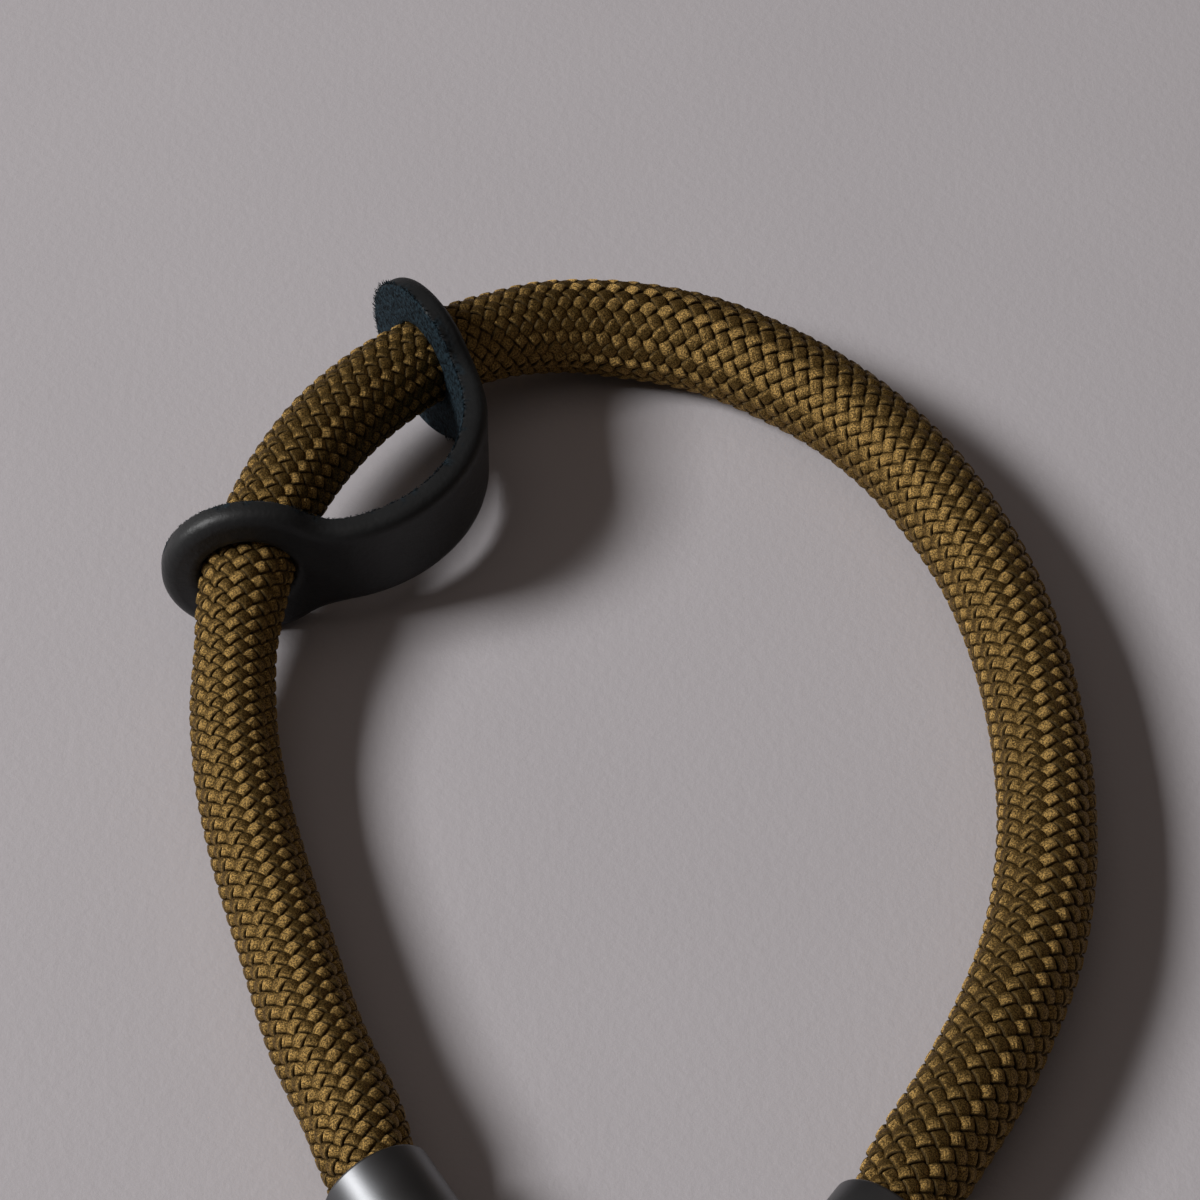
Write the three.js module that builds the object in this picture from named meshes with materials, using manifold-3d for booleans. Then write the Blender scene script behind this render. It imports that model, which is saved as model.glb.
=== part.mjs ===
// A phone wrist strap: a braided cord loop, a bent leather slider that sets the loop's size,
// a cap on each end of the cord and a plain ring through the eyes of both caps.
// Millimetres, +Z up. It lies on the surface z = 0, with its origin under the middle of its box.
import * as THREE from 'three';
import { mergeVertices } from 'three/addons/utils/BufferGeometryUtils.js';
import Module from 'manifold-3d';

const wasm = await Module();
wasm.setup();

const UP = new THREE.Vector3(0, 0, 1);
const GROUND_SIZE = 200;
const MERGE_DISTANCE = 1e-4;

// The clear gap between pieces that fit into each other
const GAP = 0.3;

// Cord: the hand-laid way from the left cap's mouth to the right one's, with the cord's width,
// which is slimmer where the slider's holes grip it and fuller in the slack top arc
const CORD_SIDES = 12;
const CORD_STEPS = 80;
const CORD_ROUTE = [
  { x: -18.6, y: -20.5, z: 4.2, width: 7.2 },
  { x: -21.7, y: -13.0, z: 3.9, width: 7.2 },
  { x: -24.3, y: -4.4, z: 3.65, width: 7.1 },
  { x: -26.4, y: 2.5, z: 3.65, width: 7.05 },
  { x: -28.1, y: 9.2, z: 3.9, width: 6.9 },
  { x: -29.1, y: 15.6, z: 4.6, width: 6.65 },
  { x: -29.2, y: 21.6, z: 5.6, width: 6.4 },
  { x: -28.8, y: 27.2, z: 6.6, width: 7.0 },
  { x: -27.5, y: 33.1, z: 7.1, width: 7.1 },
  { x: -25.4, y: 38.5, z: 7.3, width: 7.3 },
  { x: -22.8, y: 43.3, z: 7.3, width: 7.4 },
  { x: -19.2, y: 48.0, z: 7.1, width: 7.3 },
  { x: -15.1, y: 51.7, z: 6.8, width: 7.0 },
  { x: -10.4, y: 54.7, z: 6.1, width: 7.1 },
  { x: -5.0, y: 57.1, z: 4.9, width: 7.6 },
  { x: 1.0, y: 57.4, z: 4.1, width: 8.0 },
  { x: 7.0, y: 55.9, z: 4.0, width: 8.0 },
  { x: 12.7, y: 52.7, z: 3.95, width: 7.9 },
  { x: 18.0, y: 48.5, z: 3.9, width: 7.7 },
  { x: 22.6, y: 43.1, z: 3.8, width: 7.6 },
  { x: 26.1, y: 37.0, z: 3.75, width: 7.5 },
  { x: 28.8, y: 30.4, z: 3.7, width: 7.4 },
  { x: 30.6, y: 23.2, z: 3.7, width: 7.4 },
  { x: 31.5, y: 15.8, z: 3.7, width: 7.4 },
  { x: 31.7, y: 8.4, z: 3.75, width: 7.5 },
  { x: 31.1, y: 1.4, z: 3.8, width: 7.6 },
  { x: 29.7, y: -5.3, z: 3.95, width: 7.7 },
  { x: 27.5, y: -11.4, z: 4.05, width: 7.7 },
  { x: 24.7, y: -17.5, z: 4.15, width: 7.8 },
  { x: 21.0, y: -23.8, z: 4.2, width: 7.8 },
];

// End caps: a cup round each cord end, lying on its side, with a ring-shaped eye at its closed end
const CAP_RADIUS = 4.2;
const CAP_WALL = 0.6;
const CAP_RIM_ROUND = 0.28;
const CAP_BORE_DEPTH = 11;
const CAP_BODY_LENGTH = 12.5;
const CAP_LENGTH = 17.5;
const CAP_NECK_RADIUS = 2.2;
const CAP_DOME_STEPS = 5;
const CAP_SIDES = 24;
const EYE_RADIUS = 3.0;
const EYE_WIRE_RADIUS = 0.9;
const EYE_CENTRE = 19.7;
const EYE_SIDES = 8;
const EYE_STEPS = 20;
const CORD_END_WIDTH = 6.6;
const CAPS = [
  { name: 'end_cap_left', x: -17.1, y: -25.6, heading: -59 },
  { name: 'end_cap_right', x: 18.3, y: -28.6, heading: -125 },
];

// Joining ring: it lies in both eyes, pulled away from the caps, with its far side on the surface
const RING_RADIUS = 9.8;
const RING_WIRE_RADIUS = 1.1;
const RING_SIDES = 10;
const RING_STEPS = 40;
const RING_PULL = 0.5;
const RING_SAG = 0.55;

// Slider: a strip with two round ends and a waist, bent on edge into a U, chamfered along its edges
const SLIDER_THICKNESS = 2.0;
const SLIDER_END_RADIUS = 6.8;
const SLIDER_HOLE_SPACING = 34.9;
const SLIDER_WAIST = 8.0;
const SLIDER_FILLET = 5.0;
const SLIDER_CHAMFER = 0.3;
const SLIDER_TIP_ANGLE = 5;
const SLIDER_COLUMNS = 44;
const SLIDER_ROWS = 4;
const SLIDER_HEIGHT = 6.6;
const SLIDER_START = { x: -28.4, y: 29.4, heading: 5 };
const SLIDER_LEAD = 5.7;
const SLIDER_BEND_LENGTH = 26.0;
const SLIDER_BEND_ANGLE = 119;

const toRadians = THREE.MathUtils.degToRad;

function closedSolid(geometry) {
  const bare = geometry.clone();
  bare.deleteAttribute('normal');
  bare.deleteAttribute('uv');
  const merged = mergeVertices(bare, MERGE_DISTANCE);
  const vertProperties = new Float32Array(merged.attributes.position.array);
  const triVerts = new Uint32Array(merged.index.array);
  return new wasm.Manifold(new wasm.Mesh({ numProp: 3, vertProperties, triVerts }));
}

function geometryOf(solid) {
  const mesh = solid.getMesh();
  const geometry = new THREE.BufferGeometry();
  geometry.setAttribute('position', new THREE.BufferAttribute(mesh.vertProperties, 3));
  geometry.setIndex(new THREE.BufferAttribute(mesh.triVerts, 1));
  geometry.computeVertexNormals();
  return geometry;
}

function moveVertices(geometry, place) {
  const position = geometry.attributes.position;
  for (let i = 0; i < position.count; i += 1) {
    const moved = place(position.getX(i), position.getY(i), position.getZ(i));
    position.setXYZ(i, moved.x, moved.y, moved.z);
  }
  return geometry;
}

// A point on a cap's axis, so far past its mouth
function capPoint(cap, distance) {
  const angle = toRadians(cap.heading);
  const x = cap.x + distance * Math.cos(angle);
  const y = cap.y + distance * Math.sin(angle);
  return new THREE.Vector3(x, y, CAP_RADIUS);
}

function cordRows() {
  const [left, right] = CAPS;
  const end = CAP_BORE_DEPTH - GAP;
  const inside = (cap, distance) => ({ ...capPoint(cap, distance), width: CORD_END_WIDTH });
  return [
    inside(left, end),
    inside(left, end / 2),
    inside(left, 0),
    ...CORD_ROUTE,
    inside(right, 0),
    inside(right, end / 2),
    inside(right, end),
  ];
}

// The cord is a straight cylinder bent along the route, with its width eased from row to row
function cordGeometry(extraRadius) {
  const rows = cordRows();
  const route = new THREE.CatmullRomCurve3(rows.map((row) => new THREE.Vector3(row.x, row.y, row.z)));
  const radiusAt = (t) => {
    const place = t * (rows.length - 1);
    const row = Math.min(Math.floor(place), rows.length - 2);
    const ease = THREE.MathUtils.smoothstep(place - row, 0, 1);
    return THREE.MathUtils.lerp(rows[row].width, rows[row + 1].width, ease) / 2 + extraRadius;
  };
  return moveVertices(new THREE.CylinderGeometry(1, 1, 1, CORD_SIDES, CORD_STEPS), (x, y, z) => {
    const t = THREE.MathUtils.clamp(y + 0.5, 0, 1);
    const tangent = route.getTangent(t);
    const side = new THREE.Vector3().crossVectors(tangent, UP).normalize();
    const top = new THREE.Vector3().crossVectors(side, tangent);
    const radius = radiusAt(t);
    return route.getPoint(t).addScaledVector(side, x * radius).addScaledVector(top, z * radius);
  });
}

// The flat strip's outline from its middle (0) to its tip (1): a straight waist, a fillet, a round end
function sliderOutline(share) {
  const end = SLIDER_HOLE_SPACING / 2;
  const reach = SLIDER_END_RADIUS + SLIDER_FILLET;
  const filletCentre = SLIDER_WAIST / 2 + SLIDER_FILLET;
  const waistEnd = end - Math.sqrt(reach ** 2 - filletCentre ** 2);
  const lean = Math.asin(filletCentre / reach);
  const tip = toRadians(SLIDER_TIP_ANGLE);
  const filletLength = SLIDER_FILLET * (Math.PI / 2 - lean);
  const roundLength = SLIDER_END_RADIUS * (Math.PI - lean - tip);
  const length = share * (waistEnd + filletLength + roundLength);
  if (length < waistEnd) {
    return { along: length, half: SLIDER_WAIST / 2 };
  }
  if (length < waistEnd + filletLength) {
    const angle = (length - waistEnd) / SLIDER_FILLET;
    const half = filletCentre - SLIDER_FILLET * Math.cos(angle);
    return { along: waistEnd + SLIDER_FILLET * Math.sin(angle), half };
  }
  const angle = Math.PI - lean - (length - waistEnd - filletLength) / SLIDER_END_RADIUS;
  return { along: end + SLIDER_END_RADIUS * Math.cos(angle), half: SLIDER_END_RADIUS * Math.sin(angle) };
}

// Where a length along the strip's middle lies once it is bent, and which way it runs there
function sliderPlace(along) {
  const turn = toRadians(SLIDER_BEND_ANGLE);
  const first = toRadians(SLIDER_START.heading);
  const radius = SLIDER_BEND_LENGTH / turn;
  const fromHole = along + SLIDER_HOLE_SPACING / 2;
  const bent = THREE.MathUtils.clamp((fromHole - SLIDER_LEAD) / SLIDER_BEND_LENGTH, 0, 1);
  const heading = first + turn * bent;
  const before = Math.min(fromHole, SLIDER_LEAD);
  const after = Math.max(fromHole - SLIDER_LEAD - SLIDER_BEND_LENGTH, 0);
  const arcX = radius * (Math.sin(heading) - Math.sin(first));
  const arcY = radius * (Math.cos(first) - Math.cos(heading));
  const x = SLIDER_START.x + before * Math.cos(first) + arcX + after * Math.cos(heading);
  const y = SLIDER_START.y + before * Math.sin(first) + arcY + after * Math.sin(heading);
  return { x, y, heading };
}

// A box of three layers whose columns follow the outline; its two faces are drawn in by the chamfer
function sliderGeometry() {
  const block = new THREE.BoxGeometry(2, 2, 3, SLIDER_COLUMNS, SLIDER_ROWS, 3);
  const bent = moveVertices(block, (column, row, layer) => {
    const outline = sliderOutline(Math.abs(column));
    const place = sliderPlace(Math.sign(column) * outline.along);
    const isFace = Math.abs(layer) > 1;
    const across = row * (isFace ? outline.half - SLIDER_CHAMFER : outline.half);
    const depth = SLIDER_THICKNESS / 2 - (isFace ? 0 : SLIDER_CHAMFER);
    const out = Math.sign(layer) * depth;
    const x = place.x + out * Math.sin(place.heading);
    const y = place.y - out * Math.cos(place.heading);
    return new THREE.Vector3(x, y, SLIDER_HEIGHT + across);
  });
  const ground = new THREE.BoxGeometry(GROUND_SIZE, GROUND_SIZE, GROUND_SIZE);
  ground.translate(0, 0, -GROUND_SIZE / 2);
  const cordRoom = closedSolid(cordGeometry(GAP));
  return geometryOf(closedSolid(bent).subtract(cordRoom).subtract(closedSolid(ground)));
}

// A cup turned about its own Y axis, mouth at zero, with the eye standing in its XY plane
function capGeometry() {
  const bore = CAP_RADIUS - CAP_WALL;
  const profile = [
    new THREE.Vector2(0, CAP_BORE_DEPTH),
    new THREE.Vector2(bore, CAP_BORE_DEPTH),
    new THREE.Vector2(bore, CAP_RIM_ROUND / 2),
    new THREE.Vector2(bore + CAP_RIM_ROUND / 2, 0),
    new THREE.Vector2(CAP_RADIUS - CAP_RIM_ROUND, 0),
    new THREE.Vector2(CAP_RADIUS, CAP_RIM_ROUND),
  ];
  for (let i = 0; i <= CAP_DOME_STEPS; i += 1) {
    const angle = (i / CAP_DOME_STEPS) * (Math.PI / 2);
    const radius = CAP_NECK_RADIUS + (CAP_RADIUS - CAP_NECK_RADIUS) * Math.cos(angle);
    const height = CAP_BODY_LENGTH + (CAP_LENGTH - CAP_BODY_LENGTH) * Math.sin(angle);
    profile.push(new THREE.Vector2(radius, height));
  }
  profile.push(new THREE.Vector2(0, CAP_LENGTH));
  const cup = new THREE.LatheGeometry(profile, CAP_SIDES);
  const eye = new THREE.TorusGeometry(EYE_RADIUS, EYE_WIRE_RADIUS, EYE_SIDES, EYE_STEPS);
  eye.translate(0, EYE_CENTRE, 0);
  return geometryOf(closedSolid(cup).add(closedSolid(eye)));
}

function placeCap(mesh, cap) {
  const angle = toRadians(cap.heading);
  const along = new THREE.Vector3(Math.cos(angle), Math.sin(angle), 0);
  const across = new THREE.Vector3().crossVectors(UP, along);
  mesh.position.copy(capPoint(cap, 0));
  mesh.setRotationFromMatrix(new THREE.Matrix4().makeBasis(UP, along, across));
}

// The ring turns about the line between its two seats in the eyes until its far side comes down
function placeRing(mesh) {
  const [left, right] = CAPS.map((cap) => capPoint(cap, EYE_CENTRE + RING_PULL));
  const chord = new THREE.Vector3().subVectors(right, left);
  const halfChord = chord.length() / 2;
  chord.normalize();
  const away = new THREE.Vector3().crossVectors(chord, UP);
  const offset = Math.sqrt(RING_RADIUS ** 2 - halfChord ** 2);
  const seatHeight = CAP_RADIUS - RING_SAG;
  const tilt = Math.asin((seatHeight - RING_WIRE_RADIUS) / (offset + RING_RADIUS));
  const middle = new THREE.Vector3().addVectors(left, right).multiplyScalar(0.5).setZ(seatHeight);
  mesh.position.copy(middle).addScaledVector(away, offset * Math.cos(tilt));
  mesh.position.z -= offset * Math.sin(tilt);
  mesh.quaternion.setFromAxisAngle(chord, tilt);
}

const braid = new THREE.MeshStandardMaterial({ color: 0x7d6232, roughness: 0.7, metalness: 0 });
const leather = new THREE.MeshStandardMaterial({ color: 0x17191b, roughness: 0.55, metalness: 0 });
const gunmetal = new THREE.MeshStandardMaterial({ color: 0x898b8e, roughness: 0.47, metalness: 1 });

const strap = new THREE.Group();

function addPiece(name, geometry, material) {
  const mesh = new THREE.Mesh(geometry, material);
  mesh.name = name;
  strap.add(mesh);
  return mesh;
}

addPiece('cord', cordGeometry(0), braid);
addPiece('slider', sliderGeometry(), leather);
for (const cap of CAPS) {
  placeCap(addPiece(cap.name, capGeometry(), gunmetal), cap);
}
const ringGeometry = new THREE.TorusGeometry(RING_RADIUS, RING_WIRE_RADIUS, RING_SIDES, RING_STEPS);
placeRing(addPiece('joining_ring', ringGeometry, gunmetal));

export default strap;
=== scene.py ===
import math

import bmesh
import bpy
import numpy as np
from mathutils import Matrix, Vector


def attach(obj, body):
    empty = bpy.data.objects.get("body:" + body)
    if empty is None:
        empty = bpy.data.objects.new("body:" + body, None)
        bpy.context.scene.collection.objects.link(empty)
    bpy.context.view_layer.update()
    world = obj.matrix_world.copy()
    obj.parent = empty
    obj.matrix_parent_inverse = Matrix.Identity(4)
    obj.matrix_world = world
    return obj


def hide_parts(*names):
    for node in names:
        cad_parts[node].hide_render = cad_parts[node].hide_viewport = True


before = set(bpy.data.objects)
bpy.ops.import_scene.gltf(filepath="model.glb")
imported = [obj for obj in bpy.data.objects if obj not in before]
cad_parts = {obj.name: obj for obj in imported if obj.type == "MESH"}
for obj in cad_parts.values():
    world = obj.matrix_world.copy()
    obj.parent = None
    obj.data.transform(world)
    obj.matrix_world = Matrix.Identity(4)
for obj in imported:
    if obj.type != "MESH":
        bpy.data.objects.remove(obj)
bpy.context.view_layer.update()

MM = 0.001
UP = np.array([0.0, 0.0, 1.0])
RANDOM_SEED = 11
random = np.random.default_rng(RANDOM_SEED)

# End caps: where each mouth is (x, y) and which way the cap points from it
CAPS = {
    "end_cap_left": (-17.1, -25.6, -59.0),
    "end_cap_right": (18.3, -28.6, -125.0),
}
CAP_RADIUS = 4.2
CAP_WALL = 0.6
CAP_RIM_ROUND = 0.28
CAP_BORE_DEPTH = 11.0
CAP_BODY_LENGTH = 12.5
CAP_LENGTH = 17.5
CAP_NECK_RADIUS = 2.2
CAP_SIDES = 96
CAP_ARC_STEPS = 14
CAP_SHARP_ANGLE = 35.0
EYE_RADIUS = 3.0
EYE_WIRE_RADIUS = 0.9
EYE_CENTRE = 19.7

# Joining ring
RING_RADIUS = 9.8
RING_WIRE_RADIUS = 1.1
RING_PULL = 0.5
RING_SAG = 0.55
TORUS_STEPS = 96
TORUS_SIDES = 24

# Cord: the way from the left cap's mouth to the right one's (x, y, z), and the cord's width there
CORD_ROUTE = [
    (-18.6, -20.5, 4.2, 7.2),
    (-21.7, -13.0, 3.9, 7.2),
    (-24.3, -4.4, 3.65, 7.1),
    (-26.4, 2.5, 3.65, 7.05),
    (-28.1, 9.2, 3.9, 6.9),
    (-29.1, 15.6, 4.6, 6.65),
    (-29.2, 21.6, 5.6, 6.4),
    (-28.8, 27.2, 6.6, 7.0),
    (-27.5, 33.1, 7.1, 7.1),
    (-25.4, 38.5, 7.3, 7.3),
    (-22.8, 43.3, 7.3, 7.4),
    (-19.2, 48.0, 7.1, 7.3),
    (-15.1, 51.7, 6.8, 7.0),
    (-10.4, 54.7, 6.1, 7.1),
    (-5.0, 57.1, 4.9, 7.6),
    (1.0, 57.4, 4.1, 8.0),
    (7.0, 55.9, 4.0, 8.0),
    (12.7, 52.7, 3.95, 7.9),
    (18.0, 48.5, 3.9, 7.7),
    (22.6, 43.1, 3.8, 7.6),
    (26.1, 37.0, 3.75, 7.5),
    (28.8, 30.4, 3.7, 7.4),
    (30.6, 23.2, 3.7, 7.4),
    (31.5, 15.8, 3.7, 7.4),
    (31.7, 8.4, 3.75, 7.5),
    (31.1, 1.4, 3.8, 7.6),
    (29.7, -5.3, 3.95, 7.7),
    (27.5, -11.4, 4.05, 7.7),
    (24.7, -17.5, 4.15, 7.8),
    (21.0, -23.8, 4.2, 7.8),
]
CORD_END_WIDTH = 6.6
CORD_END_DEPTH = 10.7
ROUTE_STEPS = 40
LINE_STEP = 0.1
LINE_SMOOTHING = 1.2
SMOOTHING_REACH = 3 * LINE_SMOOTHING
CORE_INSET = 0.75
CORE_SIDES = 24
CORE_STEP = 1.0

# Braid: strands wind both ways round the cord, each passing over one and under one of the others
STRANDS_EACH_WAY = 12
CROSSINGS_PER_WAVE = 2.0
STRAND_GROUPS = 3
SLACK_WIDTH = 8.0
SLACK_SPACING = 1.6
TIGHT_WIDTH = 7.2
TIGHT_SPACING = 1.28
STRAND_HALF_WIDTH = 0.6
STRAND_HALF_THICKNESS = 0.25
STRAND_WIDTH_SWELL = 0.12
STRAND_THICKNESS_SWELL = 0.08
STRAND_WAVE = 0.3
WAVE_SHARPNESS = 0.4
STRAND_MAP_SHIFT = 100.0
# One strand's section: shares of its half width and half thickness, and 1 where its gloss gets painted shade
STRAND_SECTION = [
    (1.0, 0.3, 1.0),
    (0.88, 0.68, 1.0),
    (0.7, 0.9, 0.0),
    (0.3, 1.0, 0.0),
    (-0.3, 1.0, 0.0),
    (-0.7, 0.9, 0.0),
    (-0.88, 0.68, 1.0),
    (-1.0, 0.3, 1.0),
    (-0.65, -0.8, 1.0),
    (0.65, -0.8, 1.0),
]
STRAND_SIDES = len(STRAND_SECTION)
SAMPLES_PER_WAVE = 10
BRAID_END_DEPTH = 3.0
BRAID_TURN = 16.0

# Slider: a strip with two round ends and a waist, bent on edge into a U
SLIDER_THICKNESS = 2.0
SLIDER_END_RADIUS = 6.8
SLIDER_HOLE_SPACING = 34.9
SLIDER_WAIST = 8.0
SLIDER_FILLET = 5.0
SLIDER_HEIGHT = 6.6
SLIDER_START = (-28.4, 29.4, 5.0)
SLIDER_LEAD = 5.7
SLIDER_BEND_LENGTH = 26.0
SLIDER_BEND_ANGLE = 119.0
SLIDER_GRAIN_ROUND = 1.0
SLIDER_SUEDE_ROUND = 0.4
SLIDER_END_RAYS = 120
SLIDER_CUT_ROWS = 14
SLIDER_RINGS = 12
SLIDER_COLUMNS = 60
EDGE_OFFSETS = (0.0, 0.015, 0.05, 0.12, 0.22, 0.36, 0.6, 1.0)
EDGE_WEAR_REACH = 0.9

# The slider's holes: the leather presses a little into the braid. Rays from a hole's middle find the edges.
HOLE_PRESS = 0.15
HOLE_LEAST_RIM = 1.0
HOLE_STEPS = 120
NEAR_HOLE = 3 * SLIDER_END_RADIUS
NEAR_HOLE_STRIDE = 5
RAY_LENGTH = 2.5 * SLIDER_END_RADIUS
RAY_STEPS = 4000

# Frayed fibres on the edge of the slider's suede side
FIBRES_PER_MM = 14
FIBRE_ROOT = 0.14
FIBRE_REACH = (0.1, 0.5)
FIBRE_FIRST_END_SHARE = 0.25
FIBRE_LEAN = 0.16
FIBRE_CURL = (-0.05, 0.1)
FIBRE_RADIUS = 0.045
FIBRE_TAPER = 0.8
FIBRE_STEPS = 4
FIBRE_SIDES = 3
FIBRE_FLOOR_GAP = 0.8

# Yarn: the part of its colour that scatters light, and the part that mirrors it
YARN_BODY_DARK = (0.021, 0.0125, 0.0033, 1.0)
YARN_BODY_LIGHT = (0.06, 0.036, 0.0095, 1.0)
YARN_BODY_TONE = (0.035, 0.0214, 0.006, 1.0)
YARN_BODY_PATCH = (0.0224, 0.0131, 0.0034, 1.0)
# Painted shade: the body colour where a strand dives under
YARN_BODY_PAINTED_SHADE = (0.0042, 0.0025, 0.0006, 1.0)
YARN_GLOSS = (0.444, 0.28, 0.09, 1.0)
# Painted shade: the gloss colour where a strand dives under
YARN_GLOSS_PAINTED_SHADE = (0.067, 0.042, 0.0137, 1.0)
YARN_GLOSS_GRAIN = (0.08, 0.05, 0.016, 1.0)
# Painted shade: the gloss colour on a strand's sides
YARN_GLOSS_PAINTED_SIDE_SHADE = (0.0444, 0.028, 0.009, 1.0)
YARN_TONE_SHARE = 0.3
YARN_PATCH_SHARE = 0.4
YARN_DULL_ROUGHNESS = 0.7
YARN_DOT_ROUGHNESS = 0.62
YARN_ANISOTROPY = 0.9
YARN_RELIEF = 0.2
YARN_DOT_RELIEF_SHARE = 0.2

# Patterns on the yarn, in repeats for each millimetre along and across a strand. The slant is in radians.
YARN_LOOPS = (4.6, 1.0, 1.0)
YARN_LOOP_SLANT = (0.0, 0.0, 0.1)
YARN_DOTS = (9.5, 8.5, 1.0)
YARN_PATCHES = (0.35, 0.5, 1.0)

# The cord's filling
FILLING_DARK = (0.03, 0.017, 0.005, 1.0)
FILLING_LIGHT = (0.07, 0.04, 0.012, 1.0)
FILLING_ROUGHNESS = 0.9

# Leather
GRAIN_DARK = (0.009, 0.0095, 0.01, 1.0)
GRAIN_LIGHT = (0.014, 0.0148, 0.0156, 1.0)
SUEDE_DARK = (0.0005, 0.002, 0.0035, 1.0)
SUEDE_LIGHT = (0.02, 0.038, 0.051, 1.0)
LEATHER_ROUGHNESS = 0.95
LEATHER_IOR = 1.27
POLISH_ROUGHNESS = 0.48
POLISH_IOR = 1.45
FACE_POLISH = 0.75
EDGE_POLISH = (0.4, 1.0)
GRAIN_RELIEF = 0.05
SUEDE_RELIEF = 0.2

# Metal
GUNMETAL_DARK = (0.15, 0.152, 0.158, 1.0)
GUNMETAL_LIGHT = (0.18, 0.183, 0.19, 1.0)
GUNMETAL_ROUGHNESS = (0.39, 0.44)
GUNMETAL_RELIEF = 0.02
GUNMETAL_RELIEF_STRENGTH = 0.1

# Paper under the strap
PAPER_DARK = (0.56, 0.528, 0.55, 1.0)
PAPER_LIGHT = (0.60, 0.566, 0.588, 1.0)
PAPER_ROUGHNESS = 0.9
PAPER_RELIEF = 0.12
PAPER_RELIEF_STRENGTH = 0.4
FLOOR_SIZE = 3000.0

# Camera
CAMERA_TARGET = (-1.5, 28.4, 4.0)
CAMERA_DISTANCE = 350.0
CAMERA_ELEVATION = 49.0
CAMERA_LENS = 136.0
CAMERA_SENSOR = 36.0
CAMERA_CLIP_START = 10.0

# Lights: direction, width, height, watts and colour of each. All stand equally far from their target.
LIGHTS = {
    "window": ((-1.29, -0.08, 1.0), 550.0, 420.0, 20.0, (1.0, 1.0, 1.0)),
    "ceiling": ((0.0, 0.0, 1.0), 1600.0, 1600.0, 1.2, (1.0, 0.86, 0.78)),
}
LIGHT_TARGET = (0.0, 15.0, 0.0)
LIGHT_DISTANCE = 1500.0
ROOM_COLOUR = (1.0, 0.86, 0.78, 1.0)
ROOM_STRENGTH = 0.045


def unit(vectors):
    return vectors / np.linalg.norm(vectors, axis=-1, keepdims=True)


def smoothstep(low, high, value):
    share = np.clip((value - low) / (high - low), 0.0, 1.0)
    return share * share * (3.0 - 2.0 * share)


# Meshes

def make_piece(name, points, faces, material):
    """A smooth mesh from points in millimetres, riding on the strap's one body."""
    mesh = bpy.data.meshes.new(name)
    mesh.from_pydata((np.asarray(points) * MM).tolist(), [], faces)
    mesh.polygons.foreach_set("use_smooth", np.ones(len(mesh.polygons), dtype=bool))
    mesh.materials.append(material)
    piece = bpy.data.objects.new(name, mesh)
    bpy.context.scene.collection.objects.link(piece)
    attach(piece, "root")
    return piece


def face_outwards(piece):
    shape = bmesh.new()
    shape.from_mesh(piece.data)
    bmesh.ops.recalc_face_normals(shape, faces=shape.faces)
    shape.to_mesh(piece.data)
    shape.free()


def add_map(piece, name, corner_places):
    layer = piece.data.uv_layers.new(name=name)
    layer.uv.foreach_set("vector", np.asarray(corner_places, dtype=np.float32).ravel())


def add_values(piece, name, values):
    layer = piece.data.attributes.new(name, "FLOAT", "POINT")
    layer.data.foreach_set("value", np.asarray(values, dtype=np.float32))


def tube_faces(rings, sides, first=0):
    """Quads round a tube of so many rings, with both ends closed by one face."""
    ring, side = np.meshgrid(np.arange(rings - 1), np.arange(sides), indexing="ij")
    after = (side + 1) % sides
    low = first + ring * sides
    high = low + sides
    quads = np.stack([low + side, low + after, high + after, high + side], axis=-1).reshape(-1, 4)
    start = [first + k for k in reversed(range(sides))]
    finish = [first + (rings - 1) * sides + k for k in range(sides)]
    return quads.tolist() + [start, finish]


# The cord's line

def cap_point(cap, distance):
    """A point on a cap's axis, so far past its mouth."""
    x, y, heading = CAPS[cap]
    angle = math.radians(heading)
    return (x + distance * math.cos(angle), y + distance * math.sin(angle), CAP_RADIUS)


def cord_rows():
    """The route's rows with those inside both caps."""
    depths = (CORD_END_DEPTH, CORD_END_DEPTH / 2, 0.0)
    left = [(*cap_point("end_cap_left", depth), CORD_END_WIDTH) for depth in depths]
    right = [(*cap_point("end_cap_right", depth), CORD_END_WIDTH) for depth in reversed(depths)]
    return np.array(left + CORD_ROUTE + right)


def route_through(rows):
    """Points and widths on a centripetal Catmull-Rom curve through the rows."""
    places = rows[:, :3]
    knots = np.vstack([2 * places[0] - places[1], places, 2 * places[-1] - places[-2]])
    share = np.linspace(0.0, 1.0, ROUTE_STEPS, endpoint=False)[:, None]
    points = []
    widths = []
    for k in range(len(rows) - 1):
        before, start, stop, after = knots[k:k + 4]
        gap_in = np.linalg.norm(start - before) ** 0.5
        gap = np.linalg.norm(stop - start) ** 0.5
        gap_out = np.linalg.norm(after - stop) ** 0.5
        step = stop - start
        leave = ((start - before) / gap_in - (stop - before) / (gap_in + gap)) * gap + step
        arrive = ((after - stop) / gap_out - (after - start) / (gap + gap_out)) * gap + step
        square = (3 * step - 2 * leave - arrive) * share ** 2
        cube = (leave + arrive - 2 * step) * share ** 3
        points.append(start + leave * share + square + cube)
        widths.append(rows[k, 3] + (rows[k + 1, 3] - rows[k, 3]) * smoothstep(0.0, 1.0, share[:, 0]))
    points.append(places[-1:])
    widths.append(rows[-1:, 3])
    return np.vstack(points), np.concatenate(widths)


def along_of(points):
    steps = np.linalg.norm(np.diff(points, axis=0), axis=1)
    return np.concatenate([[0.0], np.cumsum(steps)])


def read_rows(at, along, values):
    """Values of a line's rows, read at other lengths along it."""
    return np.stack([np.interp(at, along, column) for column in values.T], axis=1)


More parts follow.
